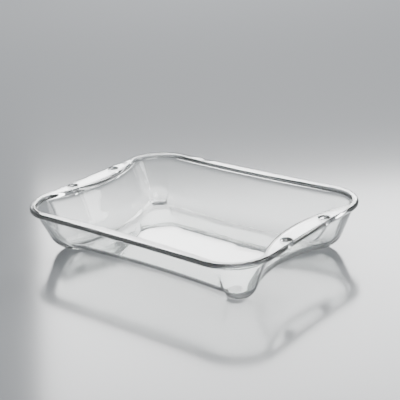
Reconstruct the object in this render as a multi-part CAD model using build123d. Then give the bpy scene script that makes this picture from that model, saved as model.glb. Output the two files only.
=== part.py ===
from build123d import *
from math import atan, cos, pi, radians, sin, sqrt, tan
import os

# Rectangular oven dish of clear pressed glass: a waisted bowl on four corner columns,
# under one straight-sided rounded rim whose two ends widen into flat handles.
# The real dish is a single pressing.  Its glass is parted here on flat planes, so that
# its floor, walls, rim, handles, pads and pegs are solids that meet face to face.
# X runs along the dish, Y across it, Z up; the origin is under the middle of the dish.

# Overall size
LENGTH = 350.0
WIDTH = 257.0
HEIGHT = 60.0

# Rim and handle plate, whose four sides bow in a little between the corners
RIM_CORNER_RADIUS = 51.5
RIM_BOW = 1.8
RIM_THICKNESS = 6.5
RIM_EDGE_RADIUS = 2.8

# Bowl
WALL_THICKNESS = 4.3
FLOOR_THICKNESS = 5.0
HEEL_RADIUS = 27.0

# Foot pads, one under each corner column
PAD_DIAMETER = 18.0
PAD_HEIGHT = 1.0
PAD_END_DISTANCE = 59.0
PAD_SIDE_DISTANCE = 60.5

# Finger grips, two on each handle: a dimple in its top over a domed peg beneath
GRIP_SPACING = 73.0
GRIP_EDGE_DISTANCE = 10.8
DIMPLE_DIAMETER = 14.0
DIMPLE_DEPTH = 3.2
PEG_DIAMETER = 14.0
PEG_DROP = 4.0

RIM_UNDERSIDE = HEIGHT - RIM_THICKNESS
FLOOR_TOP = PAD_HEIGHT + FLOOR_THICKNESS
INNER_HEEL = HEEL_RADIUS - WALL_THICKNESS
# The floor ends and the walls begin this far up the inner heel
SEAM_RISE = 2.0
FLOOR_SEAM = FLOOR_TOP + SEAM_RISE

# The bowl is drawn through five lines of its outer wall, each given where the wall
# would meet the underside if the heel were sharp and where it meets the rim plate.
# Plan positions are in the +X +Y quarter, each set back from the end and the side of
# the dish; the other three quarters mirror it.
END = LENGTH / 2
SIDE = WIDTH / 2
LOWER_LINES = {
    "side_middle": (0.0, SIDE - 46.5),
    "side_crease": (END - 57.0, SIDE - 41.5),
    "corner_middle": (END - 31.5, SIDE - 37.0),
    "end_crease": (END - 31.0, SIDE - 57.0),
    "end_middle": (END - 46.5, 0.0),
}
UPPER_LINES = {
    "side_middle": (0.0, SIDE - 11.0),
    "side_crease": (END - 43.0, SIDE - 7.3),
    "corner_middle": (END - 18.6, SIDE - 18.6),
    "end_crease": (END - 6.3, SIDE - 49.5),
    "end_middle": (END - 27.5, 0.0),
}
# Inner edge of the flat top of the rim, which bows in to make the two handles
FLAT_EDGE = {
    "side_middle": (0.0, SIDE - 13.7),
    "side_crease": (END - 47.0, SIDE - 8.0),
    "corner_middle": (END - 19.6, SIDE - 19.4),
    "end_crease": (END - 7.0, SIDE - 46.5),
    "end_middle": (END - 26.0, 0.0),
}
# The inner wall rolls over to that edge on part of an ellipse this deep
LIP_DEPTH = 5.0
LIP_ROLL = 0.97
LIP_START = HEIGHT - LIP_DEPTH
# The outer wall flares as it runs into the underside of the rim
ROOT_FLARE = 1.5
ROOT_HEIGHT = 4.0
ROOT_START = RIM_UNDERSIDE - ROOT_HEIGHT
# Way each wall line faces in plan, in degrees from +X towards +Y
FACING = {
    "side_middle": 90,
    "side_crease": 72,
    "corner_middle": 42,
    "end_crease": 12,
    "end_middle": 0,
}
# Run for each unit of rise that no part of the wall falls below
LEAST_LEAN = 0.35
# Sections that the rounded heel, the straight wall above it and the rolled lip are
# lofted through, as parts of the way up each
HEEL_SECTIONS = (0.0, 0.03, 0.12, 0.28, 0.5, 0.75, 1.0)
WALL_SECTIONS = (0.15, 0.4, 0.7, 1.0)
LIP_SECTIONS = (0.0, 0.4, 0.7, 0.88, 1.0)


def wall_line(name, z, inset, bottom, heel):
    """Plan position of one wall line at height z, set in by a glass thickness."""
    x0, y0 = LOWER_LINES[name]
    x1, y1 = UPPER_LINES[name]
    nx = cos(radians(FACING[name]))
    ny = sin(radians(FACING[name]))
    height = RIM_UNDERSIDE - PAD_HEIGHT
    slope = ((x1 - x0) * nx + (y1 - y0) * ny) / height
    lean = atan(slope)
    part_up = (z - PAD_HEIGHT) / height
    rise = z - bottom
    shift = -inset / cos(lean)
    if rise < heel * (1 - sin(lean)):
        tangent = heel * tan((pi / 2 - lean) / 2)
        shift += sqrt(heel**2 - (heel - rise) ** 2) - tangent - rise * slope
    return (x0 + (x1 - x0) * part_up + nx * shift, y0 + (y1 - y0) * part_up + ny * shift)


def outline(points, z):
    """Closed outline at height z: four bowed panels and four corner arcs."""
    sx, sy = points["side_crease"]
    cx, cy = points["corner_middle"]
    ex, ey = points["end_crease"]
    side = points["side_middle"][1]
    end = points["end_middle"][0]
    arcs = [
        ThreePointArc((ex, -ey), (end, 0), (ex, ey)),
        ThreePointArc((ex, ey), (cx, cy), (sx, sy)),
        ThreePointArc((sx, sy), (0, side), (-sx, sy)),
        ThreePointArc((-sx, sy), (-cx, cy), (-ex, ey)),
        ThreePointArc((-ex, ey), (-end, 0), (-ex, -ey)),
        ThreePointArc((-ex, -ey), (-cx, -cy), (-sx, -sy)),
        ThreePointArc((-sx, -sy), (0, -side), (sx, -sy)),
        ThreePointArc((sx, -sy), (cx, -cy), (ex, -ey)),
    ]
    return Pos(0, 0, z) * make_face(Curve() + arcs)


def wall_outline(z, inset, bottom, heel):
    """Outline of the outer wall at height z, or of the inner one when set in."""
    points = {name: wall_line(name, z, inset, bottom, heel) for name in LOWER_LINES}
    return outline(points, z)


def bowl(inset, bottom, heel, top):
    """Solid inside one wall surface: a rounded heel below, straight walls above."""
    heel_top = bottom + heel * (1 - sin(atan(LEAST_LEAN)))
    heights = [bottom + part_up * (heel_top - bottom) for part_up in HEEL_SECTIONS]
    heights += [heel_top + part_up * (top - heel_top) for part_up in WALL_SECTIONS]
    return loft([wall_outline(z, inset, bottom, heel) for z in heights])


def lip_outline(part_up):
    """Outline of the rolled lip, from the top of the inner wall to the flat edge."""
    roll = (1 - sqrt(1 - (LIP_ROLL * part_up) ** 2)) / (1 - sqrt(1 - LIP_ROLL**2))
    points = {}
    for name, (x1, y1) in FLAT_EDGE.items():
        x0, y0 = wall_line(name, LIP_START, WALL_THICKNESS, FLOOR_TOP, INNER_HEEL)
        points[name] = (x0 + (x1 - x0) * roll, y0 + (y1 - y0) * roll)
    return outline(points, LIP_START + LIP_DEPTH * part_up)


def slab(z0, z1):
    """Level block wider than the dish, between two heights."""
    box = Box(2 * LENGTH, 2 * WIDTH, z1 - z0, align=(Align.CENTER, Align.CENTER, Align.MIN))
    return Pos(0, 0, z0) * box


# Hollow of the dish: inside the bowl's inner wall, then inside the lip
cavity = bowl(WALL_THICKNESS, FLOOR_TOP, INNER_HEEL, LIP_START)
mouth = loft([lip_outline(part_up) for part_up in LIP_SECTIONS])

# Bowl, flared at its top where the wall runs out into the underside of the rim
outer_bowl = bowl(0.0, PAD_HEIGHT, HEEL_RADIUS, ROOT_START)
root = loft(
    [
        wall_outline(ROOT_START, 0.0, PAD_HEIGHT, HEEL_RADIUS),
        wall_outline(RIM_UNDERSIDE, -ROOT_FLARE, PAD_HEIGHT, HEEL_RADIUS),
    ],
    ruled=True,
)
bowl_glass = outer_bowl + root - cavity
floor = bowl_glass & slab(0.0, FLOOR_SEAM)
wall_ring = bowl_glass & slab(FLOOR_SEAM, RIM_UNDERSIDE)

# Rim and both handles in one level plate, all its edges rounded
end_reach = SIDE - RIM_CORNER_RADIUS
side_reach = END - RIM_CORNER_RADIUS
corner_offset = RIM_CORNER_RADIUS * sqrt(0.5)
rim_outline = {
    "side_middle": (0.0, SIDE - RIM_BOW),
    "side_crease": (side_reach, SIDE),
    "corner_middle": (side_reach + corner_offset, end_reach + corner_offset),
    "end_crease": (END, end_reach),
    "end_middle": (END - RIM_BOW, 0.0),
}
rim_plate = extrude(outline(rim_outline, RIM_UNDERSIDE), RIM_THICKNESS, dir=(0, 0, 1))
rim_edges = rim_plate.edges().group_by(Axis.Z)
rim_plate = fillet(rim_edges[0] + rim_edges[-1], RIM_EDGE_RADIUS)
rim_ring = rim_plate - cavity - mouth


def grip_places():
    """Name and plan position of each finger grip."""
    for side, way_y in (("back", 1), ("front", -1)):
        for end, way_x in (("right", 1), ("left", -1)):
            place = Pos(way_x * (END - GRIP_EDGE_DISTANCE), way_y * GRIP_SPACING / 2, 0)
            yield side + "_" + end, place


def cap_radius(diameter, depth):
    """Radius of the ball whose cap is this wide and this deep."""
    return (diameter**2 / 4 + depth**2) / (2 * depth)


# Dimples in the top of the handles, each a ball's cap
dimple_radius = cap_radius(DIMPLE_DIAMETER, DIMPLE_DEPTH)
dimple = Pos(0, 0, HEIGHT - DIMPLE_DEPTH + dimple_radius) * Sphere(dimple_radius)
for corner, place in grip_places():
    rim_ring -= place * dimple


def crease(name, z):
    """Plan position of a crease at height z, as if the heel were sharp."""
    x0, y0 = LOWER_LINES[name]
    x1, y1 = UPPER_LINES[name]
    part_up = (z - PAD_HEIGHT) / (RIM_UNDERSIDE - PAD_HEIGHT)
    return x0 + (x1 - x0) * part_up, y0 + (y1 - y0) * part_up


def seam_plan(z):
    """Where the two seams of the +X +Y corner cross at height z, and their outer ends."""
    side_x, side_y = crease("side_crease", z)
    end_x, end_y = crease("end_crease", z)
    side_facing = radians(FACING["side_crease"])
    end_facing = radians(FACING["end_crease"])
    across = (end_x - side_x) * sin(end_facing) - (end_y - side_y) * cos(end_facing)
    back = across / sin(end_facing - side_facing)
    cross = (side_x + back * cos(side_facing), side_y + back * sin(side_facing))
    side_far = (side_x + WIDTH * cos(side_facing), side_y + WIDTH * sin(side_facing))
    end_far = (end_x + WIDTH * cos(end_facing), end_y + WIDTH * sin(end_facing))
    return cross, side_far, end_far


def corner_plan(z, way_x, way_y):
    """Plan of one corner's region at height z, between its two seams."""
    points = [(x * way_x, y * way_y) for x, y in seam_plan(z)]
    return Pos(0, 0, z) * make_face(Polyline(*points, close=True))


def side_plan(z, way_y):
    """Plan of one long side's region at height z, between two corners."""
    (x0, y0), (x1, y1), end_far = seam_plan(z)
    points = [(x0, y0 * way_y), (x1, y1 * way_y), (-x1, y1 * way_y), (-x0, y0 * way_y)]
    return Pos(0, 0, z) * make_face(Polyline(*points, close=True))


def end_plan(z, way_x):
    """Plan of one short end's region at height z, between two corners."""
    (x0, y0), side_far, (x1, y1) = seam_plan(z)
    points = [(x0 * way_x, y0), (x1 * way_x, y1), (x1 * way_x, -y1), (x0 * way_x, -y0)]
    return Pos(0, 0, z) * make_face(Polyline(*points, close=True))


def wall_piece(plan, *ways):
    """The part of the wall between seams that lean with the creases."""
    plans = [plan(0.0, *ways), plan(HEIGHT, *ways)]
    return wall_ring & loft(plans, ruled=True)


def rim_piece(plan, *ways):
    """The part of the rim plate between upright seams above the same creases."""
    return rim_ring & extrude(plan(RIM_UNDERSIDE, *ways), HEIGHT, dir=(0, 0, 1))


def piece(name, solid):
    """Write one named piece of the dish."""
    solid.label = name
    export_step(solid, os.path.join("parts", name + ".step"))


os.makedirs("parts", exist_ok=True)

piece("floor", floor)
for side, way_y in (("back", 1), ("front", -1)):
    piece("side_wall_" + side, wall_piece(side_plan, way_y))
    piece("rim_" + side, rim_piece(side_plan, way_y))
    for end, way_x in (("right", 1), ("left", -1)):
        corner = side + "_" + end
        piece("corner_wall_" + corner, wall_piece(corner_plan, way_x, way_y))
        piece("rim_corner_" + corner, rim_piece(corner_plan, way_x, way_y))
for end, way_x in (("right", 1), ("left", -1)):
    piece("end_wall_" + end, wall_piece(end_plan, way_x))
    piece("handle_" + end, rim_piece(end_plan, way_x))

# Round foot pads under the corner columns, each reaching up to the floor's underside
pad = Cylinder(PAD_DIAMETER / 2, FLOOR_TOP / 2, align=(Align.CENTER, Align.CENTER, Align.MIN))
for side, way_y in (("back", 1), ("front", -1)):
    for end, way_x in (("right", 1), ("left", -1)):
        place = Pos(way_x * (END - PAD_END_DISTANCE), way_y * (SIDE - PAD_SIDE_DISTANCE), 0)
        piece("foot_pad_" + side + "_" + end, place * pad - floor)

# Domed pegs under the dimples, which stop the fingers slipping along the handle
peg_radius = cap_radius(PEG_DIAMETER, PEG_DROP)
peg_ball = Pos(0, 0, RIM_UNDERSIDE - PEG_DROP + peg_radius) * Sphere(peg_radius)
peg = peg_ball & slab(0.0, RIM_UNDERSIDE)
for corner, place in grip_places():
    piece("grip_peg_" + corner, place * peg)
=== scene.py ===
from math import acos, atan, atan2, cos, hypot, pi, radians, sin, sqrt, tan

import bmesh
import bpy
from mathutils import Matrix, Vector


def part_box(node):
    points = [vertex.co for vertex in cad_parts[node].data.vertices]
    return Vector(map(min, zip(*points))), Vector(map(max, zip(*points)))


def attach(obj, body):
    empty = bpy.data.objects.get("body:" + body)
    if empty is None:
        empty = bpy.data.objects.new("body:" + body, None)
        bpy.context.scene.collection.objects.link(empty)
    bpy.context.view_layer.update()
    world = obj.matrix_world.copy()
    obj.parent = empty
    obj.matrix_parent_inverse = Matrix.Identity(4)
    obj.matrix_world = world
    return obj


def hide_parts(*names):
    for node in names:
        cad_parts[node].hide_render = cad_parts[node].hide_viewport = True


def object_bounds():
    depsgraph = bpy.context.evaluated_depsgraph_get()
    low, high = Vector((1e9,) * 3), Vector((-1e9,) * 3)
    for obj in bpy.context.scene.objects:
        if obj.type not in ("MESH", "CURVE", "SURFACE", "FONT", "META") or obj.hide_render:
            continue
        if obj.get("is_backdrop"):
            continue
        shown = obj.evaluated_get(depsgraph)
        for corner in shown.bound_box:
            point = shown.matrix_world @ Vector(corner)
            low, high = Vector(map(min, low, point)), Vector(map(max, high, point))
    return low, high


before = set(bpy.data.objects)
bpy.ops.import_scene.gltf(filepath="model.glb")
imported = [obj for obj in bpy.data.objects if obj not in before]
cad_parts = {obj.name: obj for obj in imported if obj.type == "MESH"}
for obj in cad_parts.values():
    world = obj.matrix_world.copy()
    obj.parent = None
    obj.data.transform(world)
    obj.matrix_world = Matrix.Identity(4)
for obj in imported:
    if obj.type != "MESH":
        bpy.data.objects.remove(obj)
cad_low, cad_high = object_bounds()


# ---- Dish: floor, walls, rim and handles ---------------------------------------------
# One gob of clear glass is pressed between a mould and a plunger. The walls bow in along
# all four sides, the corners stand out as round columns, and a level plate runs round
# the mouth and widens into a flat handle at each end.

end = cad_high[0]
side = cad_high[1]
top_z = cad_high[2]
underside_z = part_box("rim_front")[0].z
base_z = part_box("floor")[0].z

corner_radius = 0.0515
rim_bow = 0.0018
edge_radius = 0.0028
wall_thickness = 0.0043
floor_thickness = 0.005
heel_radius = 0.027
lip_depth = 0.005
lip_roll = 0.97
root_flare = 0.0015
root_height = 0.004
least_slope = 0.35

# Outer wall in the +X +Y quarter: where each line of it would meet the base if the heel
# were sharp, where it meets the plate, and the way it faces, in degrees from +X
wall_lines = {
    "side_middle": ((0.0, side - 0.0465), (0.0, side - 0.011), 90),
    "side_crease": ((end - 0.057, side - 0.0415), (end - 0.043, side - 0.0073), 72),
    "corner_middle": ((end - 0.0315, side - 0.037), (end - 0.0186, side - 0.0186), 42),
    "end_crease": ((end - 0.031, side - 0.057), (end - 0.0063, side - 0.0495), 12),
    "end_middle": ((end - 0.0465, 0.0), (end - 0.0275, 0.0), 0),
}
# Inner edge of the flat top of the plate
flat_edge = {
    "side_middle": (0.0, side - 0.0137),
    "side_crease": (end - 0.047, side - 0.008),
    "corner_middle": (end - 0.0196, side - 0.0194),
    "end_crease": (end - 0.007, side - 0.0465),
    "end_middle": (end - 0.026, 0.0),
}
# Faces along one end, round one corner, along one side, and up the heel
end_steps = 22
corner_steps = 16
side_steps = 34
heel_steps = 10


def wall_point(name, z, inset, bottom, heel):
    """Plan place of one wall line at height z, set in by the glass thickness."""
    (x0, y0), (x1, y1), facing = wall_lines[name]
    nx = cos(radians(facing))
    ny = sin(radians(facing))
    height = underside_z - base_z
    slope = ((x1 - x0) * nx + (y1 - y0) * ny) / height
    lean = atan(slope)
    part_up = (z - base_z) / height
    rise = z - bottom
    shift = -inset / cos(lean)
    if rise < heel * (1 - sin(lean)):
        tangent = heel * tan((pi / 2 - lean) / 2)
        shift += sqrt(max(heel**2 - (heel - rise) ** 2, 0.0)) - tangent - rise * slope
    return x0 + (x1 - x0) * part_up + nx * shift, y0 + (y1 - y0) * part_up + ny * shift


def bow(first, middle, last, steps):
    """Points along the arc through three points, without the last."""
    ax, ay = first
    bx, by = middle
    cx, cy = last
    # Centre of the circle through the three
    twice_area = 2 * (ax * (by - cy) + bx * (cy - ay) + cx * (ay - by))
    a2, b2, c2 = ax * ax + ay * ay, bx * bx + by * by, cx * cx + cy * cy
    ux = (a2 * (by - cy) + b2 * (cy - ay) + c2 * (ay - by)) / twice_area
    uy = (a2 * (cx - bx) + b2 * (ax - cx) + c2 * (bx - ax)) / twice_area
    r = hypot(ax - ux, ay - uy)
    # The turn goes by way of the middle point, also where it is over a half circle
    start = atan2(ay - uy, ax - ux)
    halfway = atan2(by - uy, bx - ux)
    turn = (halfway - start + pi) % (2 * pi) - pi
    turn += (atan2(cy - uy, cx - ux) - halfway + pi) % (2 * pi) - pi
    return [
        (ux + r * cos(start + turn * i / steps), uy + r * sin(start + turn * i / steps))
        for i in range(steps)
    ]


def bowed_ring(points, z):
    """Ring through four bowed panels and four round corners at height z."""
    sx, sy = points["side_crease"]
    cx, cy = points["corner_middle"]
    ex, ey = points["end_crease"]
    plan = bow((ex, -ey), points["end_middle"], (ex, ey), end_steps)
    plan += bow((ex, ey), (cx, cy), (sx, sy), corner_steps)
    plan += bow((sx, sy), points["side_middle"], (-sx, sy), side_steps)
    plan += bow((-sx, sy), (-cx, cy), (-ex, ey), corner_steps)
    plan += [(-x, -y) for x, y in plan]
    return [Vector((x, y, z)) for x, y in plan]


def wall_ring(z, inset, bottom, heel):
    """Ring round the outer wall at height z, or round the inner one with its inset."""
    return bowed_ring({n: wall_point(n, z, inset, bottom, heel) for n in wall_lines}, z)


def plate_ring(inset, z):
    """Ring along the edge of the plate, or set in from it."""
    corner_x = end - corner_radius
    corner_y = side - corner_radius
    across = (corner_radius - inset) * sqrt(0.5)
    points = {
        "side_middle": (0.0, side - rim_bow - inset),
        "side_crease": (corner_x, side - inset),
        "corner_middle": (corner_x + across, corner_y + across),
        "end_crease": (end - inset, corner_y),
        "end_middle": (end - rim_bow - inset, 0.0),
    }
    return bowed_ring(points, z)


def between(ring_a, ring_b, part):
    """Ring a part of the way from one ring to another."""
    return [a.lerp(b, part) for a, b in zip(ring_a, ring_b)]


def drawn_in(ring, part):
    """The same ring drawn in towards the dish's middle, cut straight at its corners."""
    half = end_steps + 2 * corner_steps + side_steps
    points = list(ring)
    for start in (end_steps, end_steps + corner_steps + side_steps):
        for first in (start, start + half):
            last = (first + corner_steps) % len(ring)
            for i in range(corner_steps):
                points[first + i] = ring[first].lerp(ring[last], i / corner_steps)
    return [Vector((p.x * part, p.y * part, p.z)) for p in points]


def pressed(name, rings):
    """Closed form drawn out ring by ring from a circle, with a pole at each end."""
    bpy.ops.object.select_all(action="DESELECT")
    bpy.ops.mesh.primitive_circle_add(vertices=len(rings[0]))
    piece = bpy.context.object
    piece.name = name
    piece.data.name = name
    bpy.ops.object.mode_set(mode="EDIT")
    mesh = bmesh.from_edit_mesh(piece.data)
    station = mesh.verts.layers.int.new("station")
    level = mesh.verts.layers.int.new("level")
    for i, v in enumerate(sorted(mesh.verts, key=lambda v: atan2(v.co.y, v.co.x))):
        v[station] = i
        v.co = rings[0][i]
    bmesh.update_edit_mesh(piece.data)
    for number, ring in enumerate(rings[1:], 1):
        bpy.ops.mesh.extrude_region_move()
        mesh = bmesh.from_edit_mesh(piece.data)
        station = mesh.verts.layers.int["station"]
        level = mesh.verts.layers.int["level"]
        for v in mesh.verts:
            if v.select:
                v.co = ring[v[station]]
                v[level] = number
        bmesh.update_edit_mesh(piece.data)
    bpy.ops.mesh.merge(type="CENTER")
    mesh = bmesh.from_edit_mesh(piece.data)
    level = mesh.verts.layers.int["level"]
    for v in mesh.verts:
        v.select = v[level] == 0
    mesh.select_flush(True)
    bmesh.update_edit_mesh(piece.data)
    bpy.ops.mesh.merge(type="CENTER")
    bpy.ops.mesh.select_all(action="SELECT")
    bpy.ops.mesh.normals_make_consistent(inside=False)
    bpy.ops.object.mode_set(mode="OBJECT")
    return piece


# The heel ends highest on the most upright wall, so its rings turn as far as that one
heel_turn = pi / 2 - atan(least_slope)
root_z = underside_z - root_height
lip_z = top_z - lip_depth
inner_bottom = base_z + floor_thickness
inner_heel = heel_radius - wall_thickness

# Underside, heel and outer wall
base_ring = wall_ring(base_z, 0.0, base_z, heel_radius)
rings = [drawn_in(base_ring, part) for part in (0.04, 0.3, 0.6, 0.85, 0.97)]
for i in range(heel_steps + 1):
    z = base_z + heel_radius * (1 - cos(heel_turn * i / heel_steps))
    rings.append(wall_ring(z, 0.0, base_z, heel_radius))
heel_top = rings[-1][0].z
for part in (0.2, 0.45, 0.7, 0.88, 1.0):
    rings.append(wall_ring(heel_top + part * (root_z - heel_top), 0.0, base_z, heel_radius))
# Flare into the underside of the plate
for turn in (25, 50, 72, 90):
    out = root_flare * (1 - cos(radians(turn)))
    z = root_z + root_height * sin(radians(turn))
    rings.append(wall_ring(z, -out, base_z, heel_radius))
# Underside of the plate, its rounded edge and its flat top
root_ring = rings[-1]
under_ring = plate_ring(edge_radius, underside_z)
rings += [between(root_ring, under_ring, part) for part in (0.12, 0.4, 0.7, 0.93)]
edge_turns = [radians(degrees) for degrees in (0, 18, 36, 54, 72, 90)]
for turn in edge_turns:
    inset = edge_radius * (1 - sin(turn))
    rings.append(plate_ring(inset, underside_z + edge_radius * (1 - cos(turn))))
for turn in edge_turns:
    inset = edge_radius * (1 - cos(turn))
    rings.append(plate_ring(inset, top_z - edge_radius * (1 - sin(turn))))
top_ring = rings[-1]
mouth_ring = bowed_ring(flat_edge, top_z)
rings += [between(top_ring, mouth_ring, part) for part in (0.07, 0.3, 0.6, 0.88)]
# Rolled lip down to the inner wall
for part_up in (1.0, 0.93, 0.82, 0.66, 0.45, 0.22, 0.0):
    roll = (1 - sqrt(1 - (lip_roll * part_up) ** 2)) / (1 - sqrt(1 - lip_roll**2))
    places = {}
    for name, (x1, y1) in flat_edge.items():
        x0, y0 = wall_point(name, lip_z, wall_thickness, inner_bottom, inner_heel)
        places[name] = (x0 + (x1 - x0) * roll, y0 + (y1 - y0) * roll)
    rings.append(bowed_ring(places, lip_z + lip_depth * part_up))
# Inner wall, inner heel and floor
inner_top = inner_bottom + inner_heel * (1 - cos(heel_turn))
for part in (0.88, 0.66, 0.42, 0.2):
    z = inner_top + part * (lip_z - inner_top)
    rings.append(wall_ring(z, wall_thickness, inner_bottom, inner_heel))
for i in range(heel_steps, -1, -1):
    z = inner_bottom + inner_heel * (1 - cos(heel_turn * i / heel_steps))
    rings.append(wall_ring(z, wall_thickness, inner_bottom, inner_heel))
rings += [drawn_in(rings[-1], part) for part in (0.97, 0.85, 0.6, 0.3, 0.04)]

dish = pressed("pressed_glass_dish", rings)
smoothing = dish.modifiers.new("smoothing", "SUBSURF")
smoothing.levels = 1
smoothing.render_levels = 1
bpy.ops.object.modifier_apply(modifier=smoothing.name)


# ---- Finger grips and foot pads --------------------------------------------------------
# Two grips on each handle, a dimple in its top over a domed peg beneath, keep the hands
# from slipping. Four low round pads under the corners carry the dish. The mould presses
# them all in one with the rest of the glass.

dimple_depth = 0.0032
dimple_ball = 0.00926
dimple_turn = 46.0
dimple_rim = 0.0012
pad_round = 0.0006
# Pegs and pads run up into the glass, and the dimple cutters stand above it
sunk = 0.0012
proud = 0.002
peg_neck = 0.98
# Small opening left round each pole, which the pressing closes
pole_radius = 0.0003
pole_turn = 0.03
around = 64
dome_steps = 12
corners = [y + "_" + x for y in ("back", "front") for x in ("right", "left")]


def turned_form(name, middle, profile):
    """Round form about an upright line, from (radius, height) pairs."""
    turn = 2 * pi / around
    rings = [
        [
            Vector((middle.x + r * cos(turn * i), middle.y + r * sin(turn * i), z))
            for i in range(around)
        ]
        for r, z in profile
    ]
    return pressed(name, rings)


def join_all(pieces):
    """Joins pieces into the first of them."""
    bpy.ops.object.select_all(action="DESELECT")
    for piece in pieces:
        piece.select_set(True)
    bpy.context.view_layer.objects.active = pieces[0]
    bpy.ops.object.join()
    return bpy.context.object


def shape_dish(operation, pieces):
    """Adds solids to the dish or cuts them from it."""
    other = join_all(pieces)
    bpy.ops.object.select_all(action="DESELECT")
    dish.select_set(True)
    bpy.context.view_layer.objects.active = dish
    change = dish.modifiers.new("change", "BOOLEAN")
    change.operation = operation
    change.solver = "EXACT"
    change.object = other
    bpy.ops.object.modifier_apply(modifier=change.name)
    bpy.data.objects.remove(other)


pegs = []
dimples = []
pads = []
for corner in corners:
    low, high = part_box("grip_peg_" + corner)
    middle = (low + high) / 2
    peg_radius = (high.x - low.x) / 2
    drop = high.z - low.z
    ball = (peg_radius**2 + drop**2) / (2 * drop)
    dome_turn = acos(1 - drop / ball)
    turns = [pole_turn] + [dome_turn * i / dome_steps for i in range(1, dome_steps + 1)]
    profile = [(ball * sin(t), low.z + ball * (1 - cos(t))) for t in turns]
    profile += [(peg_radius * peg_neck, high.z + sunk), (pole_radius, high.z + sunk)]
    pegs.append(turned_form("peg", middle, profile))

    bowl_turn = radians(dimple_turn)
    turns = [pole_turn] + [bowl_turn * i / dome_steps for i in range(1, dome_steps + 1)]
    bottom = top_z - dimple_depth
    profile = [(dimple_ball * sin(t), bottom + dimple_ball * (1 - cos(t))) for t in turns]
    rim_r = profile[-1][0] + dimple_rim * sin(turns[-1])
    rim_z = profile[-1][1] - dimple_rim * cos(turns[-1])
    for degrees in (37, 28, 18, 8):
        t = radians(degrees)
        profile.append((rim_r - dimple_rim * sin(t), rim_z + dimple_rim * cos(t)))
    profile += [(profile[-1][0], top_z + proud), (pole_radius, top_z + proud)]
    dimples.append(turned_form("dimple", middle, profile))

    low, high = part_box("foot_pad_" + corner)
    middle = (low + high) / 2
    r = (high.x - low.x) / 2
    profile = [(pole_radius, low.z), (r - pad_round, low.z)]
    for degrees in (30, 60, 90):
        t = radians(degrees)
        profile.append((r - pad_round * (1 - sin(t)), low.z + pad_round * (1 - cos(t))))
    profile += [(r, high.z + sunk), (pole_radius, high.z + sunk)]
    pads.append(turned_form("pad", middle, profile))

shape_dish("UNION", pegs + pads)
shape_dish("DIFFERENCE", dimples)
bpy.ops.object.shade_smooth_by_angle(angle=radians(40))


# ---- The glass ---------------------------------------------------------------------------
# Clear soda-lime glass with a faint grey-green cast, fire polished, with the slow waves
# that a mould leaves, and a light haze of handling.

pale_tint = (0.99, 0.998, 0.994, 1)
green_tint = (0.95, 0.975, 0.965, 1)

glass = bpy.data.materials.new("clear_pressed_glass")
glass.use_nodes = True
nodes = glass.node_tree.nodes
links = glass.node_tree.links
shader = nodes["Principled BSDF"]
shader.inputs["Transmission Weight"].default_value = 0.96
shader.inputs["IOR"].default_value = 1.47

place = nodes.new("ShaderNodeTexCoord")
cast = nodes.new("ShaderNodeTexNoise")
cast.inputs["Scale"].default_value = 14.0
cast.inputs["Detail"].default_value = 3.0
links.new(place.outputs["Object"], cast.inputs["Vector"])
cast_tones = nodes.new("ShaderNodeValToRGB")
cast_tones.color_ramp.elements[0].color = green_tint
cast_tones.color_ramp.elements[1].color = pale_tint
links.new(cast.outputs["Fac"], cast_tones.inputs["Fac"])
links.new(cast_tones.outputs["Color"], shader.inputs["Base Color"])

smudge = nodes.new("ShaderNodeTexNoise")
smudge.inputs["Scale"].default_value = 22.0
smudge.inputs["Detail"].default_value = 8.0
smudge.inputs["Distortion"].default_value = 0.8
links.new(place.outputs["Object"], smudge.inputs["Vector"])
haze = nodes.new("ShaderNodeMapRange")
haze.inputs["From Min"].default_value = 0.5
haze.inputs["From Max"].default_value = 0.85
haze.inputs["To Min"].default_value = 0.0
haze.inputs["To Max"].default_value = 0.05
links.new(smudge.outputs["Fac"], haze.inputs["Value"])
links.new(haze.outputs["Result"], shader.inputs["Roughness"])

wave = nodes.new("ShaderNodeTexNoise")
wave.inputs["Scale"].default_value = 28.0
wave.inputs["Detail"].default_value = 1.0
links.new(place.outputs["Object"], wave.inputs["Vector"])
swell = nodes.new("ShaderNodeBump")
swell.inputs["Strength"].default_value = 0.2
swell.inputs["Distance"].default_value = 0.001
links.new(wave.outputs["Fac"], swell.inputs["Height"])
links.new(swell.outputs["Normal"], shader.inputs["Normal"])

dish.data.materials.clear()
dish.data.materials.append(glass)
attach(dish, "root")
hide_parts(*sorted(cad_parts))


# ---- Stage: table, lights and camera ---------------------------------------------------
# A plain pale, polished table top under soft boxes. It lies a hair above the underside of
# the pads, so that the glass touches it and the pads show through the floor of the dish.

table_z = 0.00004
table_colour = (0.3, 0.31, 0.32, 1)
sky_colour = (0.5, 0.52, 0.55, 1)
azimuth = radians(41.06)
elevation = radians(21.18)
roll = radians(-3.94)
distance = 1.46112
aim = Vector((-0.09366, 0.12359, 0.0))

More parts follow.
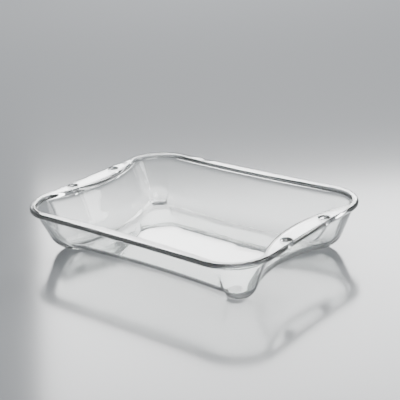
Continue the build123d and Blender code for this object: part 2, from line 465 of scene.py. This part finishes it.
bpy.ops.object.select_all(action="DESELECT")
bpy.ops.mesh.primitive_plane_add(size=12.0, location=(0, 0, table_z))
table = bpy.context.object
table.name = "table"
paint = bpy.data.materials.new("pale_table")
paint.use_nodes = True
paint_shader = paint.node_tree.nodes["Principled BSDF"]
paint_shader.inputs["Base Color"].default_value = table_colour
paint_shader.inputs["Roughness"].default_value = 0.14
paint_shader.inputs["Specular IOR Level"].default_value = 0.35
table.data.materials.append(paint)
table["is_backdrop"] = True

world = bpy.data.worlds.new("studio")
bpy.context.scene.world = world
world.use_nodes = True
sky = world.node_tree.nodes["Background"]
sky.inputs["Color"].default_value = sky_colour
sky.inputs["Strength"].default_value = 0.6


def soft_box(name, place, width, height, power):
    """Soft light turned towards the dish."""
    light = bpy.data.lights.new(name, "AREA")
    light.shape = "RECTANGLE"
    light.size = width
    light.size_y = height
    light.energy = power
    lamp = bpy.data.objects.new(name, light)
    lamp.location = place
    lamp.rotation_euler = (-Vector(place)).to_track_quat("-Z", "Y").to_euler()
    bpy.context.scene.collection.objects.link(lamp)


soft_box("window_light", (-1.4, 1.9, 1.3), 1.6, 0.9, 80)
soft_box("top_light", (0.1, 0.2, 1.8), 1.0, 0.8, 22)
soft_box("side_light", (1.9, 0.9, 0.9), 0.8, 0.8, 16)

camera_data = bpy.data.cameras.new("view")
camera_data.sensor_width = 36.0
camera_data.lens = 98.12
camera_data.clip_end = 50.0
camera = bpy.data.objects.new("view", camera_data)
bpy.context.scene.collection.objects.link(camera)
# The camera looks along -back, with its own right and up turned by the roll
level = cos(elevation)
back = Vector((sin(azimuth) * level, -cos(azimuth) * level, sin(elevation)))
level_right = (-back).cross(Vector((0, 0, 1))).normalized()
level_up = level_right.cross(-back)
right = level_right * cos(roll) + level_up * sin(roll)
up = level_up * cos(roll) - level_right * sin(roll)
turned = Matrix((right, up, back)).transposed().to_4x4()
camera.matrix_world = Matrix.Translation(aim + back * distance) @ turned
bpy.context.scene.camera = camera

low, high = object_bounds()
